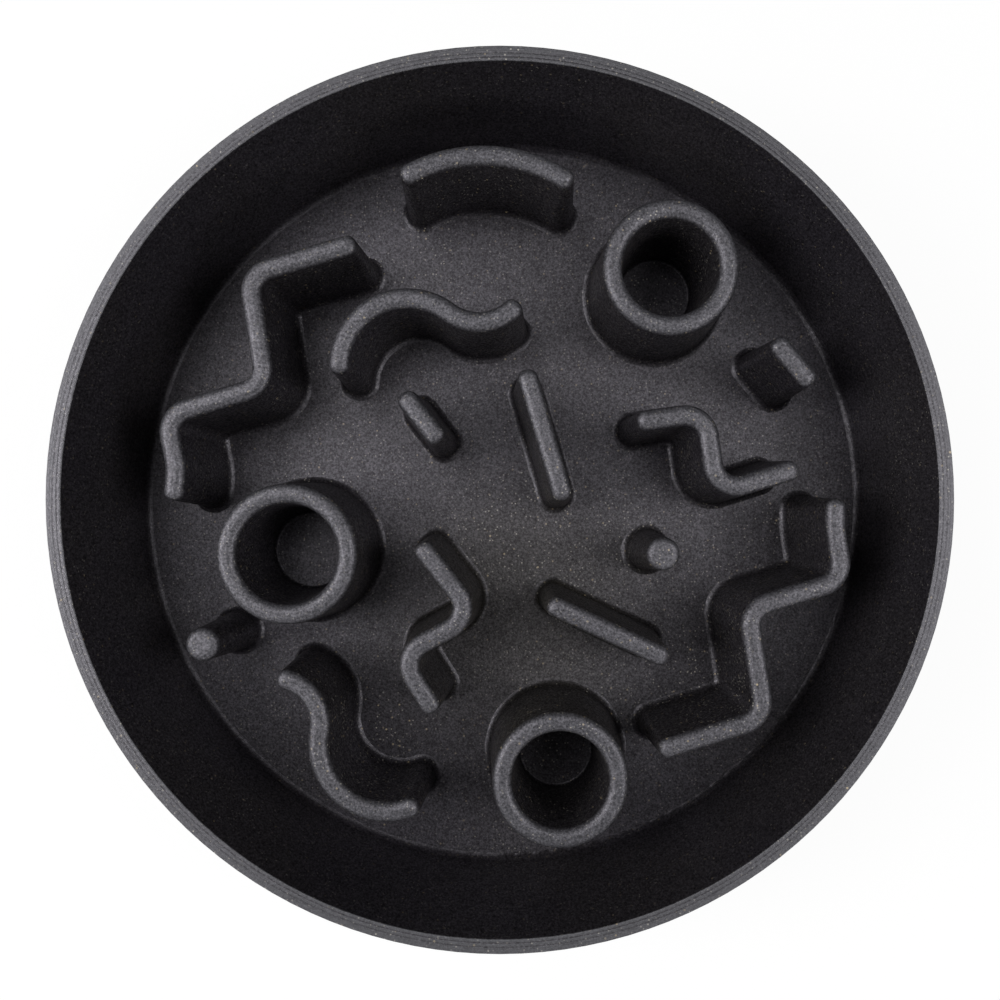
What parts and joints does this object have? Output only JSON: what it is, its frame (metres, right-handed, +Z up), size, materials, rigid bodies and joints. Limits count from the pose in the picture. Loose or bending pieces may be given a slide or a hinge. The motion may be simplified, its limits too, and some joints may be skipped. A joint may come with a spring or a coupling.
{
  "type": "slow feeder bowl",
  "caption": "Round, deep pet feeding bowl with upright zigzag, wave, bar, peg and cup ridges on its floor that slow down eating, on a non-slip ring.",
  "frame": {"origin": "middle of the bowl's circle, on the surface that it stands on", "axes": "+Z up through the open mouth; +Y towards the plain arc ridge, which is the top of the picture; +X to the picture's right"},
  "size_m": [0.2852, 0.2852, 0.065],
  "materials": {
    "moulding": "charcoal plant-fibre composite, satin, with fine pale specks",
    "ring": "soft matt black"
  },
  "bodies": {
    "root": {"bowl_floor": "moulding", "bowl_wall": "moulding", "arc_ridge": "moulding", "cup_left": "moulding", "cup_lower": "moulding", "cup_upper_right": "moulding", "long_bar_centre": "moulding", "long_bar_lower": "moulding", "long_zigzag_left": "moulding", "long_zigzag_right": "moulding", "peg_left": "moulding", "peg_right": "moulding", "short_bar_left": "moulding", "short_bar_right": "moulding", "short_zigzag_lower": "moulding", "short_zigzag_right": "moulding", "wave_lower": "moulding", "wave_upper": "moulding", "non_slip_ring": "ring"}
  },
  "joints": []
}
